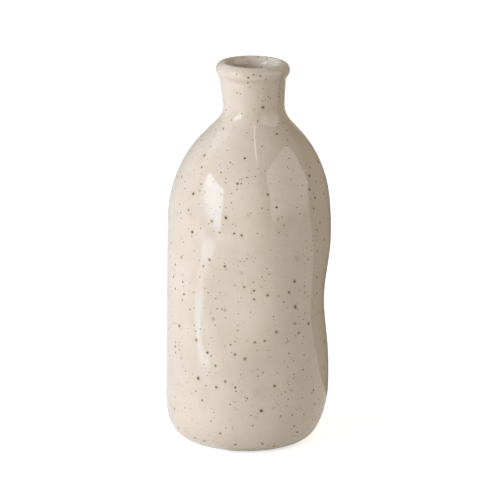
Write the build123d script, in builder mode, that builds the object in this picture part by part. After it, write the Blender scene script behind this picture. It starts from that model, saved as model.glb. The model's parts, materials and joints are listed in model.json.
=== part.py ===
from build123d import *
import os
from math import cos, exp, radians, sin, tan

# A stoneware bottle vase, pressed by hand while soft and glazed inside and out.
# Millimetres and degrees. +Z is up, the foot stands on Z = 0 and the side shown first faces -Y.
# Heights run along the axis, which leans towards +X, and radii run out from it.

# Outline of the glazed outside, from the foot up
belly_foot_radius = 53.1
foot_corner_radius = 19.1
belly_shoulder_radius = 53.7
belly_height = 178.3
shoulder_rise = 38.0
shoulder_round_radius = 85.7
neck_round_radius = 16.3
neck_height = 24.1
neck_flare = 1.5

# Mouth and lip
bore_radius = 15.5
neck_wall = 4.2
lip_height = 9.7
lip_projection = 2.7
lip_overhang = 0.3
lip_seat = 2.0
lip_crest_inset = 3.7
lip_widest_drop = 4.6
flare_depth = 7.0

# Wall, glaze and foot
clay_wall = 4.6
glaze_thickness = 0.5
glaze_line_height = 0.8
glaze_seam_rise = 10.3
foot_ring_spread = 1.2
foot_ring_width = 5.0
foot_ring_rounding = 0.4
foot_recess_depth = 1.5

# Lean of the axis, which crosses the Z axis at the pivot height
lean_angle = 0.96
lean_pivot_height = 59.1

# Hollows pressed into the wall: bearing from +X, height, half width in degrees, half height, depth.
# A depth below nought is a swell.
waist_hollow = (0.0, 95.2, 42.0, 29.5, 4.2)
palm_hollow = (-104.0, 99.0, 26.0, 30.0, 5.5)
upper_hollow = (0.0, 153.5, 50.0, 15.5, 1.2)
shoulder_swell = (0.0, 202.9, 60.0, 21.0, -1.8)
nape_hollow = (180.0, 216.0, 60.0, 17.0, 1.6)
right_heel_hollow = (0.0, 11.4, 60.0, 12.7, 3.5)
left_heel_hollow = (180.0, 13.0, 60.0, 8.0, 1.1)
thumb_hollow = (-74.0, 56.0, 24.0, 20.0, 3.8)
front_swell = (-78.0, 160.0, 20.0, 26.0, -1.6)
finger_hollow = (-110.0, 168.0, 20.0, 18.0, 1.5)
hollows = (
    waist_hollow,
    palm_hollow,
    upper_hollow,
    shoulder_swell,
    nape_hollow,
    right_heel_hollow,
    left_heel_hollow,
    thumb_hollow,
    front_swell,
    finger_hollow,
)

# Fineness of the lofted skins
section_points = 24
corner_section_count = 8
belly_section_count = 12
shoulder_section_count = 9
slope_section_count = 2
crease_section_count = 5
neck_section_count = 2

# Radii and heights that follow
neck_foot_radius = bore_radius + neck_wall
neck_top_radius = neck_foot_radius + neck_flare
lip_radius = neck_top_radius + lip_projection
lip_crest_radius = lip_radius - lip_crest_inset
foot_ring_radius = belly_foot_radius - foot_corner_radius + foot_ring_spread
neck_foot_height = belly_height + shoulder_rise
glaze_seam_height = neck_foot_height + glaze_seam_rise
lip_underside_height = neck_foot_height + neck_height
crest_height = lip_underside_height + lip_height
lip_widest_height = crest_height - lip_widest_drop
flare_height = crest_height - flare_depth

bearings = [360 * step / section_points for step in range(section_points + 1)]
sections_on = {
    "corner": corner_section_count,
    "belly": belly_section_count,
    "shoulder": shoulder_section_count,
    "slope": slope_section_count,
    "crease": crease_section_count,
    "neck": neck_section_count,
}

lean = radians(lean_angle)
foot_offset = -lean_pivot_height * tan(lean)


def axis_point(height):
    """Point of the leaning axis at a height along it."""
    return Vector(foot_offset + height * sin(lean), 0, height * cos(lean))


def across(height):
    """Plane across the axis: level at the foot, square to the axis from the shoulder up."""
    tilt = lean * min(height / belly_height, 1)
    return Plane(
        axis_point(height), x_dir=(cos(tilt), 0, -sin(tilt)), z_dir=(sin(tilt), 0, cos(tilt))
    )


# Plane through the axis, with radii along its X and heights along its Y
along = Plane(axis_point(0), x_dir=(cos(lean), 0, -sin(lean)), z_dir=(0, -1, 0))
axis = Axis(axis_point(0), axis_point(1) - axis_point(0))
foot_plane = Plane(axis_point(0))


def hollow_depth(bearing, height):
    """How far the pressed hollows draw the wall in at a bearing and a height."""
    depth = 0.0
    for centre, level, half_width, half_height, deepest in hollows:
        turn = (bearing - centre + 180) % 360 - 180
        depth += deepest * exp(-((turn / half_width) ** 2) - ((height - level) / half_height) ** 2)
    return depth


with BuildLine() as outline:
    FilletPolyline(
        (neck_foot_radius, 0),
        (belly_foot_radius, 0),
        (belly_shoulder_radius, belly_height),
        (neck_foot_radius, neck_foot_height),
        (neck_top_radius, lip_underside_height + lip_seat),
        radius=(foot_corner_radius, shoulder_round_radius, neck_round_radius),
    )
stretches = dict(
    zip(("base", "corner", "belly", "shoulder", "slope", "crease", "neck"), outline.wire().order_edges())
)


def stations(*names):
    """Points of the outline with their outward normals, evenly spaced along the named stretches."""
    marks = [(stretches["base"] @ 1, stretches["base"] % 1)]
    for name in names:
        edge = stretches[name]
        count = sections_on[name]
        marks += [(edge @ (step / count), edge % (step / count)) for step in range(1, count + 1)]
    return [(point, Vector(way.Y, -way.X)) for point, way in marks]


def skin(marks, inset):
    """Solid inside the outline's marks moved in by an inset, with the pressed hollows."""
    with BuildPart() as form:
        for point, normal in marks:
            radius = point.X - inset * normal.X
            with BuildSketch(across(point.Y - inset * normal.Y)):
                with BuildLine():
                    ring = []
                    for bearing in bearings[:-1]:
                        reach = radius - hollow_depth(bearing, point.Y)
                        ring.append((reach * cos(radians(bearing)), reach * sin(radians(bearing))))
                    add(Edge.make_spline(ring, periodic=True, parameters=bearings))
                make_face()
        loft(ruled=True)
    return form.part


def outer_form(inset):
    """The vase's outside moved in by an inset, with its lip and the mouth open to the glaze seam."""
    body = skin(stations("corner", "belly", "shoulder", "slope", "crease", "neck"), inset)
    throat = bore_radius + inset
    rim = lip_radius - inset
    underside = lip_underside_height + inset
    underside_radius = neck_top_radius + lip_overhang - inset
    crest = crest_height - inset
    with BuildPart() as form:
        add(body)
        with BuildSketch(along):
            with Locations((0, glaze_seam_height)):
                Rectangle(throat, crest_height - glaze_seam_height, align=Align.MIN)
        revolve(axis=axis, mode=Mode.SUBTRACT)
        with BuildSketch(along):
            with BuildLine():
                Polyline((underside_radius, underside), (throat, underside), (throat, flare_height))
                EllipticalCenterArc(
                    (lip_crest_radius, flare_height),
                    lip_crest_radius - throat,
                    crest - flare_height,
                    start_angle=180,
                    arc_size=-90,
                )
                EllipticalCenterArc(
                    (lip_crest_radius, lip_widest_height),
                    rim - lip_crest_radius,
                    crest - lip_widest_height,
                    start_angle=90,
                    arc_size=-90,
                )
                TangentArc((rim, lip_widest_height), (underside_radius, underside), tangent=(0, -1))
            make_face()
        revolve(axis=axis)
    return form.part


def cavity_form(inset):
    """The hollow below the glaze seam: the outline moved in by the wall, closing under an open bore."""
    marks = stations("corner", "belly", "shoulder", "slope")
    point, normal = marks[-1]
    uphill = Vector(-normal.Y, normal.X)
    marks.append((point + uphill * (point.X - inset * normal.X) / 2, normal))
    dome = skin(marks, inset)
    throat = bore_radius + clay_wall + 2 * glaze_thickness - inset
    with BuildPart() as form:
        add(dome)
        with BuildSketch(along):
            with Locations((0, belly_height)):
                Rectangle(throat, glaze_seam_height - belly_height, align=Align.MIN)
        revolve(axis=axis)
    return form.part


os.makedirs("parts", exist_ok=True)

glazed_outside = outer_form(0)
clay_outside = outer_form(glaze_thickness)
clay_cavity = cavity_form(glaze_thickness + clay_wall)
glazed_cavity = cavity_form(2 * glaze_thickness + clay_wall)

# The fired clay, standing on a bare foot ring round a shallow recess
with BuildPart() as stoneware_body:
    add(clay_outside)
    with BuildSketch(foot_plane):
        Circle(foot_ring_radius)
    extrude(amount=glaze_thickness + clay_wall / 2)
    with BuildSketch(foot_plane):
        Circle(foot_ring_radius - foot_ring_width)
    extrude(amount=foot_recess_depth, mode=Mode.SUBTRACT)
    fillet(faces().sort_by(Axis.Z)[0].edges(), foot_ring_rounding)
    add(clay_cavity, mode=Mode.SUBTRACT)
stoneware_body.part.label = "stoneware_body"
export_step(stoneware_body.part, "parts/stoneware_body.step")

# The glossy coat on the outside, over the lip and down to the seam in the neck
with BuildPart() as outer_glaze:
    add(glazed_outside)
    split(bisect_by=foot_plane.offset(glaze_line_height), keep=Keep.TOP)
    add(clay_outside, mode=Mode.SUBTRACT)
    add(stoneware_body.part, mode=Mode.SUBTRACT)
outer_glaze.part.label = "outer_glaze"
export_step(outer_glaze.part, "parts/outer_glaze.step")

# The liner glaze in the cavity, up to the same seam
with BuildPart() as inner_glaze:
    add(clay_cavity)
    add(glazed_cavity, mode=Mode.SUBTRACT)
inner_glaze.part.label = "inner_glaze"
export_step(inner_glaze.part, "parts/inner_glaze.step")
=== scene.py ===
import json
from cmath import phase, rect
from math import ceil, copysign, cos, pi, radians, sin, tan

import bmesh
import bpy
import numpy as np
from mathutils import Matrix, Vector


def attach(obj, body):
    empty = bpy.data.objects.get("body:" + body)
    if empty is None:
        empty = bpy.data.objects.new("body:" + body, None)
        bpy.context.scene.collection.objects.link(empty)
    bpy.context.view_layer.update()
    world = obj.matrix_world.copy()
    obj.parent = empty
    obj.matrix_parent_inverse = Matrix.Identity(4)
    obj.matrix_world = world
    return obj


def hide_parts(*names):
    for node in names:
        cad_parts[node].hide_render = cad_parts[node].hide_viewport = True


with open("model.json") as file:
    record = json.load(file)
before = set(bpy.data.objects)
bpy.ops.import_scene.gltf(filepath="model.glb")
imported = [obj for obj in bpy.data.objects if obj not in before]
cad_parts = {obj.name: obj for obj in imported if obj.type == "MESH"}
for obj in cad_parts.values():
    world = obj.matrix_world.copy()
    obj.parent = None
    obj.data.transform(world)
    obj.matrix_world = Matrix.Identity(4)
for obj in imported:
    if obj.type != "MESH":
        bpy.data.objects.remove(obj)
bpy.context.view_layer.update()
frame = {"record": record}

MM = 0.001

# Sizes of the vase in millimetres and degrees, as in the solids, with heights along the leaning axis
BELLY_FOOT_RADIUS = 53.1
FOOT_CORNER_RADIUS = 19.1
BELLY_SHOULDER_RADIUS = 53.7
BELLY_HEIGHT = 178.3
SHOULDER_RISE = 38.0
SHOULDER_ROUND_RADIUS = 85.7
NECK_ROUND_RADIUS = 16.3
NECK_HEIGHT = 24.1
NECK_FLARE = 1.5
NECK_WALL = 4.2
LIP_HEIGHT = 9.7
LIP_PROJECTION = 2.7
LIP_WIDEST_DROP = 4.6
FLARE_DEPTH = 7.0
CLAY_WALL = 4.6
GLAZE_THICKNESS = 0.5
GLAZE_LINE_HEIGHT = 0.8
GLAZE_SEAM_RISE = 10.3
FOOT_RING_SPREAD = 1.2
FOOT_RING_WIDTH = 5.0
FOOT_RING_ROUNDING = 0.4
FOOT_RECESS_DEPTH = 1.5

# Where the lip differs from the solids: a crest further in, and a soft sweep from the neck to its edge
LIP_CREST_INSET = 5.0
LIP_SWEEP = 4.3
NECK_HANDLE_RISE = 2.0
EDGE_HANDLE_RISE = 1.0

# Hollows pressed into the wall: bearing from +X, height, half width in degrees, half height, depth.
# A depth below nought is a swell.
WAIST_HOLLOW = (0.0, 95.2, 42.0, 29.5, 4.2)
PALM_HOLLOW = (-104.0, 99.0, 26.0, 30.0, 5.5)
UPPER_HOLLOW = (0.0, 153.5, 50.0, 15.5, 1.2)
SHOULDER_SWELL = (0.0, 202.9, 60.0, 21.0, -1.8)
NAPE_HOLLOW = (180.0, 216.0, 60.0, 17.0, 1.6)
RIGHT_HEEL_HOLLOW = (0.0, 11.4, 60.0, 12.7, 3.5)
LEFT_HEEL_HOLLOW = (180.0, 13.0, 60.0, 8.0, 1.1)
THUMB_HOLLOW = (-74.0, 56.0, 24.0, 20.0, 3.8)
FRONT_SWELL = (-78.0, 160.0, 20.0, 26.0, -1.6)
FINGER_HOLLOW = (-110.0, 168.0, 20.0, 18.0, 1.5)
HOLLOWS = (
    WAIST_HOLLOW,
    PALM_HOLLOW,
    UPPER_HOLLOW,
    SHOULDER_SWELL,
    NAPE_HOLLOW,
    RIGHT_HEEL_HOLLOW,
    LEFT_HEEL_HOLLOW,
    THUMB_HOLLOW,
    FRONT_SWELL,
    FINGER_HOLLOW,
)

# A level under every hollow, for rings that stay round, and where the cavity's slope gives way to a bore
LEVEL_UNDER_HOLLOWS = -100.0
CAVITY_TOP_RADIUS = 30.0

# Fineness of the meshes, and the share of the outer coat's map that its shown side takes
BEARING_COUNT = 180
ARC_STEP = 0.25
FINE_STEP = 1.8
FINE_TURN = 4.0
COARSE_STEP = 4.0
COARSE_TURN = 9.0
SHARPEST_TURN = 45.0
TOUCHING = 1e-6
MERGE_DISTANCE = 1e-7
SHOWN_SHARE = 0.85

# The bore and the leaning axis come from the mouth mount
mouth = next(m for m in frame["record"]["mounts"] if m["name"] == "mouth")
bore_radius = mouth["dims"]["r_mm"]
axis_way = Vector(mouth["axis"]).normalized()
axis_mark = Vector(mouth["pos_m"]) / MM
axis_foot = axis_mark - axis_way * (axis_mark.z / axis_way.z)
lean = np.arctan2(axis_way.x, axis_way.z)

# Radii and heights that follow
neck_foot_radius = bore_radius + NECK_WALL
neck_top_radius = neck_foot_radius + NECK_FLARE
lip_radius = neck_top_radius + LIP_PROJECTION
lip_crest_radius = lip_radius - LIP_CREST_INSET
foot_ring_radius = BELLY_FOOT_RADIUS - FOOT_CORNER_RADIUS + FOOT_RING_SPREAD
foot_ring_inside = foot_ring_radius - FOOT_RING_WIDTH
neck_foot_height = BELLY_HEIGHT + SHOULDER_RISE
seam_height = neck_foot_height + GLAZE_SEAM_RISE
lip_underside_height = neck_foot_height + NECK_HEIGHT
crest_height = lip_underside_height + LIP_HEIGHT
lip_widest_height = crest_height - LIP_WIDEST_DROP
flare_height = crest_height - FLARE_DEPTH

# Colours of the glaze, its specks and the clay
CREAM = (0.60, 0.513, 0.42, 1)
PALE_CREAM = (0.63, 0.545, 0.455, 1)
WARM_CREAM = (0.57, 0.475, 0.375, 1)
IRON = (0.05, 0.033, 0.015, 1)
DUST = (0.14, 0.095, 0.05, 1)
RUST = (0.40, 0.27, 0.14, 1)
CLAY = (0.42, 0.33, 0.24, 1)
DARK_CLAY = (0.30, 0.22, 0.15, 1)

# Finish of the glaze, with spacings and depths in millimetres
CLOUD_SPACING = 30.0
BLOOM_SPACING = 7.0
CROWD_SPACING = 26.0
DRIFT_SPACING = 0.9
DRIFT = 0.4
WAVE_SPACING = 24.0
WAVE_DEPTH = 0.35
GLAZE_ROUGHNESS = 0.06
IRON_ROUGHNESS = 0.25
GLAZE_IOR = 1.55

# Layers of scattered specks: spacing, least and most radius, share of the cells, strength of the ring
DUST_SPECKS = (2.6, 0.14, 0.30, 0.40, 0.0)
SMALL_SPECKS = (3.3, 0.34, 0.54, 0.60, 0.15)
MIDDLE_SPECKS = (6.5, 0.50, 0.85, 0.60, 0.40)
LARGE_SPECKS = (10.5, 0.65, 1.05, 1.0, 0.60)
SPECK_LAYERS = (DUST_SPECKS, SMALL_SPECKS, MIDDLE_SPECKS, LARGE_SPECKS)

# Finish of the bare clay, with its grit as spacing, least and most radius, share of the cells
CLAY_MOTTLE_SPACING = 9.0
CLAY_GRIT = (1.2, 0.15, 0.4, 0.6)
CLAY_GRIT_STRENGTH = 0.6
CLAY_GRAIN_SPACING = 0.8
CLAY_GRAIN_DEPTH = 0.08
CLAY_ROUGHNESS = 0.85


def rounded(corners, radii):
    """Profile points, radius + 1j * height, along straight runs whose corners are rounded."""
    points = [corners[0]]
    for before, corner, after, radius in zip(corners, corners[1:], corners[2:], radii):
        way_in = (corner - before) / abs(corner - before)
        way_out = (after - corner) / abs(after - corner)
        turn = phase(way_out / way_in)
        start = corner - way_in * radius * tan(abs(turn) / 2)
        centre = start + way_in * 1j * copysign(radius, turn)
        steps = ceil(abs(turn) * radius / ARC_STEP)
        points += [centre + (start - centre) * rect(1, turn * k / steps) for k in range(steps + 1)]
    return points + [corners[-1]]


def quarter(centre, first, last):
    """A quarter of an ellipse about a centre, from one end of an axis to the end of the other."""
    steps = ceil(abs(last - first) / ARC_STEP)
    turns = [pi / 2 * k / steps for k in range(steps + 1)]
    return [centre + (first - centre) * cos(t) + (last - centre) * sin(t) for t in turns]


def sway(first, first_handle, last_handle, last):
    """A smooth double bend between two points, drawn by two handles."""
    steps = ceil(abs(last - first) / ARC_STEP)
    shares = [k / steps for k in range(steps + 1)]
    return [
        first * (1 - s) ** 3
        + 3 * first_handle * s * (1 - s) ** 2
        + 3 * last_handle * s**2 * (1 - s)
        + last * s**3
        for s in shares
    ]


def spaced(points, step, turn):
    """A profile's points, closer together where it bends, with their outward normals."""
    points = np.array(points)
    points = points[np.append(True, abs(np.diff(points)) > TOUCHING)]
    ways = np.diff(points)
    bends = np.degrees(abs(np.angle(ways[1:] / ways[:-1])))
    run = np.cumsum(abs(ways) / step + np.append(0, np.minimum(bends, SHARPEST_TURN)) / turn)
    run = np.append(0, run)
    marks = np.linspace(0, run[-1], ceil(run[-1]) + 1)
    kept = np.interp(marks, run, points.real) + 1j * np.interp(marks, run, points.imag)
    ways = np.gradient(kept)
    return kept, -1j * ways / abs(ways)


def hollow_depth(bearings, heights):
    """How far the pressed hollows draw the wall in."""
    depth = 0.0
    for centre, level, half_width, half_height, deepest in HOLLOWS:
        turn = (bearings - centre + 180) % 360 - 180
        depth = depth + deepest * np.exp(
            -((turn / half_width) ** 2) - ((heights - level) / half_height) ** 2
        )
    return depth


def ring_points(loop, levels):
    """Points in metres of a profile's rings round the leaning axis, drawn in by the hollows."""
    bearings = np.linspace(0, 360, BEARING_COUNT, endpoint=False)
    heights = loop.imag[:, None]
    fade = np.clip(loop.real / foot_ring_radius, 0, 1)[:, None]
    pressed = hollow_depth(bearings[None, :], levels[:, None])
    reach = loop.real[:, None] - np.where(heights < BELLY_HEIGHT, fade, 1) * pressed
    tilt = lean * np.clip(heights / BELLY_HEIGHT, 0, 1)
    east = reach * np.cos(np.radians(bearings))
    x = axis_foot.x + heights * sin(lean) + east * np.cos(tilt)
    y = axis_foot.y + reach * np.sin(np.radians(bearings))
    z = heights * cos(lean) - east * np.sin(tilt)
    return np.stack([x, y, z], axis=-1).reshape(-1, 3) * MM


def ring_faces(loop, shares):
    """Faces between a profile's rings, with their places on the map: turns across, shares up."""
    rows = len(loop)
    on_axis = loop[0].real < TOUCHING
    faces = []
    places = []
    for row in range(rows - 1 if on_axis else rows):
        below = row * BEARING_COUNT
        above = (row + 1) % rows * BEARING_COUNT
        low, high = shares[row], shares[row + 1]
        for j in range(BEARING_COUNT):
            k = (j + 1) % BEARING_COUNT
            left, right = j / BEARING_COUNT, (j + 1) / BEARING_COUNT
            faces.append((below + j, below + k, above + k, above + j))
            places += [left, low, right, low, right, high, left, high]
    return faces, places


def turned(name, loop, levels, shares, material):
    """A piece of the vase: a profile carried round the leaning axis, with the hollows in it."""
    faces, places = ring_faces(loop, shares)
    mesh = bpy.data.meshes.new(name)
    mesh.from_pydata(ring_points(loop, levels).tolist(), [], faces)
    mesh.uv_layers.new(name="OFBake").data.foreach_set("uv", places)
    mesh.materials.append(material)
    built = bmesh.new()
    built.from_mesh(mesh)
    bmesh.ops.remove_doubles(built, verts=built.verts, dist=MERGE_DISTANCE)
    bmesh.ops.recalc_face_normals(built, faces=built.faces)
    built.to_mesh(mesh)
    built.free()
    mesh.polygons.foreach_set("use_smooth", [True] * len(mesh.polygons))
    piece = bpy.data.objects.new(name, mesh)
    bpy.context.scene.collection.objects.link(piece)
    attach(piece, "root")
    return piece


class Painter:
    """Adds the nodes of one material."""

    def __init__(self, tree):
        self.nodes = tree.nodes
        self.links = tree.links

    def node(self, kind, **settings):
        made = self.nodes.new(kind)
        for name, value in settings.items():
            setattr(made, name, value)
        return made

    def feed(self, socket, value):
        """Link a socket to an output, or set it."""
        if isinstance(value, bpy.types.NodeSocket):
            self.links.new(value, socket)
        else:
            socket.default_value = value

    def maths(self, operation, first, second):
        made = self.node("ShaderNodeMath", operation=operation)
        self.feed(made.inputs[0], first)
        self.feed(made.inputs[1], second)
        return made.outputs[0]

    def vectors(self, operation, first, second):
        made = self.node("ShaderNodeVectorMath", operation=operation)
        self.feed(made.inputs[0], first)
        self.feed(made.inputs[1], second)
        return made.outputs["Value" if operation in ("DISTANCE", "DOT_PRODUCT") else "Vector"]

    def scaled(self, vector, factor):
        made = self.node("ShaderNodeVectorMath", operation="SCALE")
        self.feed(made.inputs[0], vector)
        made.inputs["Scale"].default_value = factor
        return made.outputs["Vector"]

    def ramp(self, value, start=0.0, end=1.0, low=0.0, high=1.0):
        """A smooth change from one value to another between two marks."""
        made = self.node("ShaderNodeMapRange", interpolation_type="SMOOTHSTEP")
        for socket, given in zip(made.inputs, (value, start, end, low, high)):
            self.feed(socket, given)
        return made.outputs[0]

    def blend(self, share, first, second):
        """A mix of two colours, whose sockets are the node's seventh and eighth."""
        made = self.node("ShaderNodeMix", data_type="RGBA")
        self.feed(made.inputs[0], share)
        self.feed(made.inputs[6], first)
        self.feed(made.inputs[7], second)
        return made.outputs[2]

    def noise(self, place, spacing, detail, output="Fac"):
        made = self.node("ShaderNodeTexNoise")
        self.feed(made.inputs["Vector"], place)
        made.inputs["Scale"].default_value = 1 / spacing
        made.inputs["Detail"].default_value = detail
        return made.outputs[output]

    def place(self):
        """Position on the piece in millimetres."""
        return self.scaled(self.node("ShaderNodeTexCoord").outputs["Object"], 1 / MM)

    def bump(self, height, depth):
        """A normal for a height that runs from 0 to 1 over a depth in millimetres."""
        made = self.node("ShaderNodeBump")
        made.inputs["Strength"].default_value = 1.0
        made.inputs["Distance"].default_value = depth * MM
        self.feed(made.inputs["Height"], height)
        return made.outputs["Normal"]

    def specks(self, place, spacing, least, most, share):
        """Specks of radii between two sizes in a share of a spacing's cells: cores, halos, chances."""
        cells = self.node("ShaderNodeTexVoronoi")
        self.feed(cells.inputs["Vector"], place)
        cells.inputs["Scale"].default_value = 1 / spacing
        chance = self.node("ShaderNodeSeparateColor")
        self.feed(chance.inputs["Color"], cells.outputs["Color"])
        radius = self.ramp(chance.outputs["Red"], low=least / spacing, high=most / spacing)
        away = self.maths("DIVIDE", cells.outputs["Distance"], radius)
        present = self.maths("LESS_THAN", chance.outputs["Green"], share)
        core = self.ramp(away, start=0.7, end=1.1, low=1.0, high=0.0)
        halo = self.ramp(away, start=0.8, end=2.2, low=1.0, high=0.0)
        core = self.maths("MULTIPLY", core, present)
        halo = self.maths("MULTIPLY", halo, present)
        return core, halo, chance.outputs["Blue"]


def new_material(name):
    """A material with its painter and its shader."""
    material = bpy.data.materials.new(name)
    material.use_nodes = True
    return material, Painter(material.node_tree), material.node_tree.nodes["Principled BSDF"]


def glazed(name):
    """Glossy cream glaze, mottled a little and speckled with iron."""
    material, painter, shader = new_material(name)
    place = painter.place()
    cloud = painter.noise(place, CLOUD_SPACING, detail=3.0)
    colour = painter.blend(painter.ramp(cloud, start=0.35, end=0.7), CREAM, PALE_CREAM)
    bloom = painter.noise(place, BLOOM_SPACING, detail=4.0)
    colour = painter.blend(painter.ramp(bloom, start=0.5, end=0.8, high=0.5), colour, WARM_CREAM)

    # Specks with ragged edges, bolder in some places than in others
    drift = painter.scaled(painter.noise(place, DRIFT_SPACING, detail=2.0, output="Color"), DRIFT)
    ragged = painter.vectors("ADD", place, drift)
    ragged = painter.vectors("SUBTRACT", ragged, (DRIFT / 2, DRIFT / 2, DRIFT / 2))
    crowd = painter.noise(place, CROWD_SPACING, detail=1.0)
    boldness = painter.ramp(crowd, start=0.35, end=0.65, low=0.75)
    iron = 0.0
    for spacing, least, most, share, ring in SPECK_LAYERS:
        core, halo, chance = painter.specks(ragged, spacing, least, most, share)
        colour = painter.blend(painter.maths("MULTIPLY", halo, ring), colour, RUST)
        core = painter.maths("MULTIPLY", core, boldness)
        colour = painter.blend(core, colour, painter.blend(chance, IRON, DUST))
        iron = painter.maths("MAXIMUM", iron, core)

    painter.feed(shader.inputs["Base Color"], colour)
    roughness = painter.ramp(iron, low=GLAZE_ROUGHNESS, high=IRON_ROUGHNESS)
    painter.feed(shader.inputs["Roughness"], roughness)
    shader.inputs["IOR"].default_value = GLAZE_IOR
    waves = painter.noise(place, WAVE_SPACING, detail=1.0)
    painter.feed(shader.inputs["Normal"], painter.bump(waves, WAVE_DEPTH))
    return material


def bare_clay(name):
    """Matt fired clay with a fine grit."""
    material, painter, shader = new_material(name)
    place = painter.place()
    mottle = painter.noise(place, CLAY_MOTTLE_SPACING, detail=4.0)
    colour = painter.blend(mottle, CLAY, DARK_CLAY)
    grit = painter.specks(place, *CLAY_GRIT)[0]
    colour = painter.blend(painter.maths("MULTIPLY", grit, CLAY_GRIT_STRENGTH), colour, DUST)
    painter.feed(shader.inputs["Base Color"], colour)
    shader.inputs["Roughness"].default_value = CLAY_ROUGHNESS
    grain = painter.noise(place, CLAY_GRAIN_SPACING, detail=3.0)
    painter.feed(shader.inputs["Normal"], painter.bump(grain, CLAY_GRAIN_DEPTH))
    return material


speckled = glazed("speckled_glaze")
liner_coat = glazed("liner_glaze")
clay = bare_clay("stoneware")

# Profile of the glazed outside, from the middle of the foot over the lip to the seam in the neck
neck_end = neck_top_radius + 1j * (lip_underside_height - LIP_SWEEP)
lip_edge = lip_radius + 1j * lip_widest_height
lip_crest = lip_crest_radius + 1j * crest_height
flare_foot = bore_radius + 1j * flare_height
outline = rounded(
    [
        0j,
        BELLY_FOOT_RADIUS + 0j,
        BELLY_SHOULDER_RADIUS + 1j * BELLY_HEIGHT,
        neck_foot_radius + 1j * neck_foot_height,
        neck_end,
    ],
    (FOOT_CORNER_RADIUS, SHOULDER_ROUND_RADIUS, NECK_ROUND_RADIUS),
)
lip = sway(
    neck_end,
    neck_top_radius + 1j * (lip_underside_height + NECK_HANDLE_RISE),
    lip_radius + 1j * (lip_underside_height + EDGE_HANDLE_RISE),
    lip_edge,
)
lip += quarter(lip_crest_radius + 1j * lip_widest_height, lip_edge, lip_crest)
lip += quarter(lip_crest_radius + 1j * flare_height, lip_crest, flare_foot)
outside = [p for p in outline if p.imag > GLAZE_LINE_HEIGHT] + lip + [bore_radius + 1j * seam_height]


def cavity(inset):
    """The outline moved in by an inset, up the shoulder to a bore below the glaze seam."""
    throat = bore_radius + CLAY_WALL + 2 * GLAZE_THICKNESS - inset
    slope_end = next(
        k for k, p in enumerate(outline) if p.imag > BELLY_HEIGHT and p.real < CAVITY_TOP_RADIUS
    )
    kept, normals = spaced(outline[:slope_end], COARSE_STEP, COARSE_TURN)
    normals[0] = -1j
    moved = kept - inset * normals
    uphill = (moved[-1] - moved[-2]) / abs(moved[-1] - moved[-2])
    meeting = moved[-1] + uphill * (throat - moved[-1].real) / uphill.real
    moved = np.append(moved, [meeting, throat + 1j * seam_height])
    levels = np.append(kept.imag, [meeting.imag, seam_height])
    return moved, levels


# The glossy coat on the outside, finely divided where it shows and coarsely where it meets the clay
shown_side = spaced(outside, FINE_STEP, FINE_TURN)[0]
coarse_side, coarse_normals = spaced(outside, COARSE_STEP, COARSE_TURN)
clay_outside = coarse_side - GLAZE_THICKNESS * coarse_normals
outer = turned(
    "outer_glaze_coat",
    np.concatenate([shown_side, clay_outside[::-1]]),
    np.concatenate([shown_side.imag, coarse_side.imag[::-1]]),
    np.concatenate(
        [
            np.linspace(0, SHOWN_SHARE, len(shown_side)),
            np.linspace(SHOWN_SHARE, 1, len(coarse_side) + 2)[1:],
        ]
    ),
    speckled,
)
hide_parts("outer_glaze")

# The liner glaze in the cavity
clay_inside, clay_levels = cavity(GLAZE_THICKNESS + CLAY_WALL)
wet_side, wet_levels = cavity(2 * GLAZE_THICKNESS + CLAY_WALL)
liner_loop = np.concatenate([clay_inside, wet_side[::-1]])
liner = turned(
    "liner_glaze_coat",
    liner_loop,
    np.concatenate([clay_levels, wet_levels[::-1]]),
    np.linspace(0, 1, len(liner_loop)),
    liner_coat,
)
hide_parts("inner_glaze")

# The fired clay between the two coats, on a bare foot ring round a shallow recess
foot = [
    1j * FOOT_RECESS_DEPTH,
    foot_ring_inside + 1j * FOOT_RECESS_DEPTH,
    foot_ring_inside + 1j * FOOT_RING_ROUNDING,
    foot_ring_inside + FOOT_RING_ROUNDING + 0j,
    foot_ring_radius - FOOT_RING_ROUNDING + 0j,
    foot_ring_radius + 1j * FOOT_RING_ROUNDING,
    foot_ring_radius + 1j * GLAZE_THICKNESS,
]
foot_levels = np.full(len(foot), LEVEL_UNDER_HOLLOWS)
body_loop = np.concatenate([foot, clay_outside, clay_inside[::-1]])
stoneware = turned(
    "stoneware_wall",
    body_loop,
    np.concatenate([foot_levels, coarse_side.imag, clay_levels[::-1]]),
    np.linspace(0, 1, len(body_loop)),
    clay,
)
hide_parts("stoneware_body")

# The stage, in metres and degrees; azimuths count from the camera's side towards +X
STAGE_MIDDLE = Vector((0, 0, 0.15))
LIGHT_DISTANCE = 1.2
STREAK_DISTANCE = 1.5
FAR_DISTANCE = 1.6
FILL_SIZE = 0.8
PATCH_HEIGHT = 0.001
FLOOR_HALF_WIDTH = 6
FLOOR_COLOUR = (0.78, 0.78, 0.78, 1)
FLOOR_ROUGHNESS = 0.6
FLOOR_GLOW_SEEN = 0.7
FLOOR_GLOW_MIRRORED = 0.28
WORLD_COLOUR = (0.41, 0.38, 0.33, 1)


def quad(name, corners, material):
    """A plain four-cornered stage piece."""
    mesh = bpy.data.meshes.new(name)
    mesh.from_pydata(corners, [], [(0, 1, 2, 3)])
    mesh.materials.append(material)
    made = bpy.data.objects.new(name, mesh)
    bpy.context.scene.collection.objects.link(made)
    return made


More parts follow.
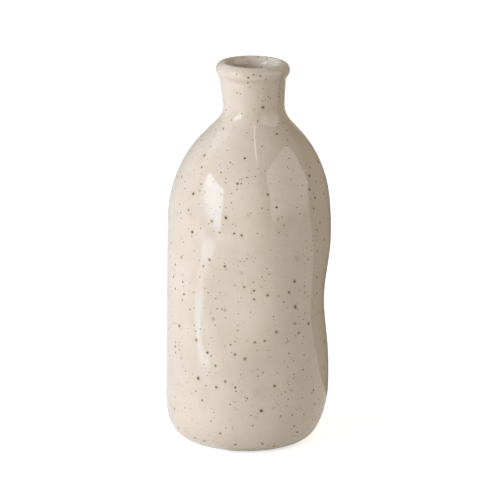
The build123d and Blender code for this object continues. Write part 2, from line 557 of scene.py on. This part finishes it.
def floor_paper():
    """Pale paper that glows white to the camera and less so in the gloss."""
    material, painter, shader = new_material("floor_paper")
    shader.inputs["Base Color"].default_value = FLOOR_COLOUR
    shader.inputs["Roughness"].default_value = FLOOR_ROUGHNESS
    shader.inputs["Emission Color"].default_value = (1, 1, 1, 1)
    path = painter.node("ShaderNodeLightPath").outputs
    seen = painter.maths("MAXIMUM", path["Is Camera Ray"], path["Is Transmission Ray"])
    seen = painter.maths("MULTIPLY", seen, FLOOR_GLOW_SEEN)
    mirrored = painter.maths("MULTIPLY", path["Is Glossy Ray"], FLOOR_GLOW_MIRRORED)
    painter.feed(shader.inputs["Emission Strength"], painter.maths("MAXIMUM", seen, mirrored))
    return material


def towards(azimuth, elevation, distance):
    """A point seen from the middle of the stage."""
    a, e = radians(azimuth), radians(elevation)
    way = Vector((sin(a) * cos(e), -cos(a) * cos(e), sin(e)))
    return way * distance + STAGE_MIDDLE


def window(left, right, bottom, top, distance=LIGHT_DISTANCE):
    """Corners of a card between two azimuths and two elevations."""
    return [
        towards(left, bottom, distance),
        towards(right, bottom, distance),
        towards(right, top, distance),
        towards(left, top, distance),
    ]


def floor_patch(left, right, near, far):
    """Corners of a card just over the floor, between two azimuths and two distances."""
    marks = [towards(a, 0, r) for a, r in ((left, near), (left, far), (right, far), (right, near))]
    return [(p.x, p.y, PATCH_HEIGHT) for p in marks]


def fill(name, azimuth, elevation, radiance):
    """A square soft light facing the vase, kept out of the gloss."""
    lamp = bpy.data.lights.new(name, "AREA")
    lamp.size = FILL_SIZE
    level = max(radiance)
    lamp.energy = level * pi * FILL_SIZE**2
    lamp.color = [c / level for c in radiance]
    light = bpy.data.objects.new(name, lamp)
    light.location = towards(azimuth, elevation, LIGHT_DISTANCE)
    light.rotation_euler = (light.location - STAGE_MIDDLE).to_track_quat("Z", "Y").to_euler()
    light.visible_camera = False
    light.visible_glossy = False
    bpy.context.scene.collection.objects.link(light)


def card(name, corners, radiance, shade=None):
    """A card that shows only in the gloss; a shade tells how bright each spot of it is."""
    material, painter, shader = new_material(name)
    shader.inputs["Base Color"].default_value = (0, 0, 0, 1)
    shader.inputs["Specular IOR Level"].default_value = 0.0
    shader.inputs["Emission Color"].default_value = (*radiance, 1)
    shader.inputs["Emission Strength"].default_value = 1.0
    if shade:
        spot = painter.node("ShaderNodeTexCoord").outputs["Generated"]
        painter.feed(shader.inputs["Emission Strength"], shade(painter, spot))
    made = quad(name, corners, material)
    made.visible_camera = False
    made.visible_diffuse = False
    made.visible_transmission = False
    made.visible_shadow = False
    return made


def key_shade(painter, spot):
    """The key fades towards its lower left corner."""
    along = painter.vectors("DOT_PRODUCT", spot, (1.0, 0.0, 0.9))
    return painter.ramp(along, start=0.6, end=1.25, low=0.15)


def panel_shade(painter, spot):
    """The panel fades at its foot to the level of the floor."""
    height = painter.vectors("DOT_PRODUCT", spot, (0.0, 0.0, 1.0))
    return painter.ramp(height, start=0.0, end=0.4, low=0.36)


def gleam_shade(painter, spot):
    """The gleam fades all round its brightest place."""
    away = painter.vectors("DISTANCE", spot, (0.80, 0.81, 0.5))
    return painter.ramp(away, start=0.04, end=0.18, low=1.0, high=0.22)


floor_sides = ((-1, -1), (1, -1), (1, 1), (-1, 1))
floor_corners = [(x * FLOOR_HALF_WIDTH, y * FLOOR_HALF_WIDTH, 0) for x, y in floor_sides]
quad("floor", floor_corners, floor_paper())

fill("key_fill", -50, 15, (4.85, 4.72, 4.35))
fill("left_fill", -75, 35, (1.7, 2.4, 3.6))
fill("right_fill", 110, 15, (1.6, 1.5, 1.3))

# Bright and dark cards that show in the gloss
key = [towards(a, e, LIGHT_DISTANCE) for a, e in ((-75, -6), (-42, -6), (-42, 20), (-75, 31))]
card("key", key, (4.0, 4.8, 5.8), key_shade)
card("right_panel", window(29, 98, -7, 44), (1.9, 1.8, 1.7), panel_shade)
card("left_wall", window(-170, -95, 30, 80, FAR_DISTANCE), (1.2, 1.2, 1.2))
card("front_flag", window(9, 29, -6, 66, FAR_DISTANCE), (0.05, 0.045, 0.04))
card("streak", window(8, 12, 48, 75, STREAK_DISTANCE), (5.0, 5.2, 5.5))

# A dark upright card behind the vase's right side
FLAG_NEAR = 0.07
FLAG_FAR = 1.2
FLAG_BEHIND = 0.075
FLAG_TOP = 0.3
right_flag = [
    (FLAG_NEAR, FLAG_BEHIND, 0),
    (FLAG_FAR, FLAG_BEHIND, 0),
    (FLAG_FAR, FLAG_BEHIND, FLAG_TOP),
    (FLAG_NEAR, FLAG_BEHIND, FLAG_TOP),
]
card("right_flag", right_flag, (0.1, 0.08, 0.06))

# The key's gleam on the floor, and a glow beside the foot that lights the vase and stays out of the gloss
card("floor_gleam", floor_patch(-64, -47, 0.15, 1.6), (3.0, 3.4, 4.0), gleam_shade)
glow = card("floor_glow", floor_patch(-100, -20, 0.03, 0.25), (0.8, 0.8, 0.8))
glow.visible_diffuse = True
glow.visible_glossy = False

world = bpy.data.worlds.new("studio")
bpy.context.scene.world = world
world.use_nodes = True
world.node_tree.nodes["Background"].inputs["Color"].default_value = WORLD_COLOUR

# The camera
CAMERA_TARGET = Vector((1.3, 0, 125.2)) * MM
CAMERA_DISTANCE = 2.5
CAMERA_ELEVATION = 14.9
CAMERA_LENS = 277.2
CAMERA_SENSOR = 36
camera_data = bpy.data.cameras.new("camera")
camera_data.sensor_width = CAMERA_SENSOR
camera_data.lens = CAMERA_LENS
camera = bpy.data.objects.new("camera", camera_data)
rise = radians(CAMERA_ELEVATION)
camera.location = CAMERA_TARGET + Vector((0, -cos(rise), sin(rise))) * CAMERA_DISTANCE
camera.rotation_euler = (pi / 2 - rise, 0, 0)
bpy.context.scene.collection.objects.link(camera)
bpy.context.scene.camera = camera
bpy.context.scene.view_settings.view_transform = "Standard"
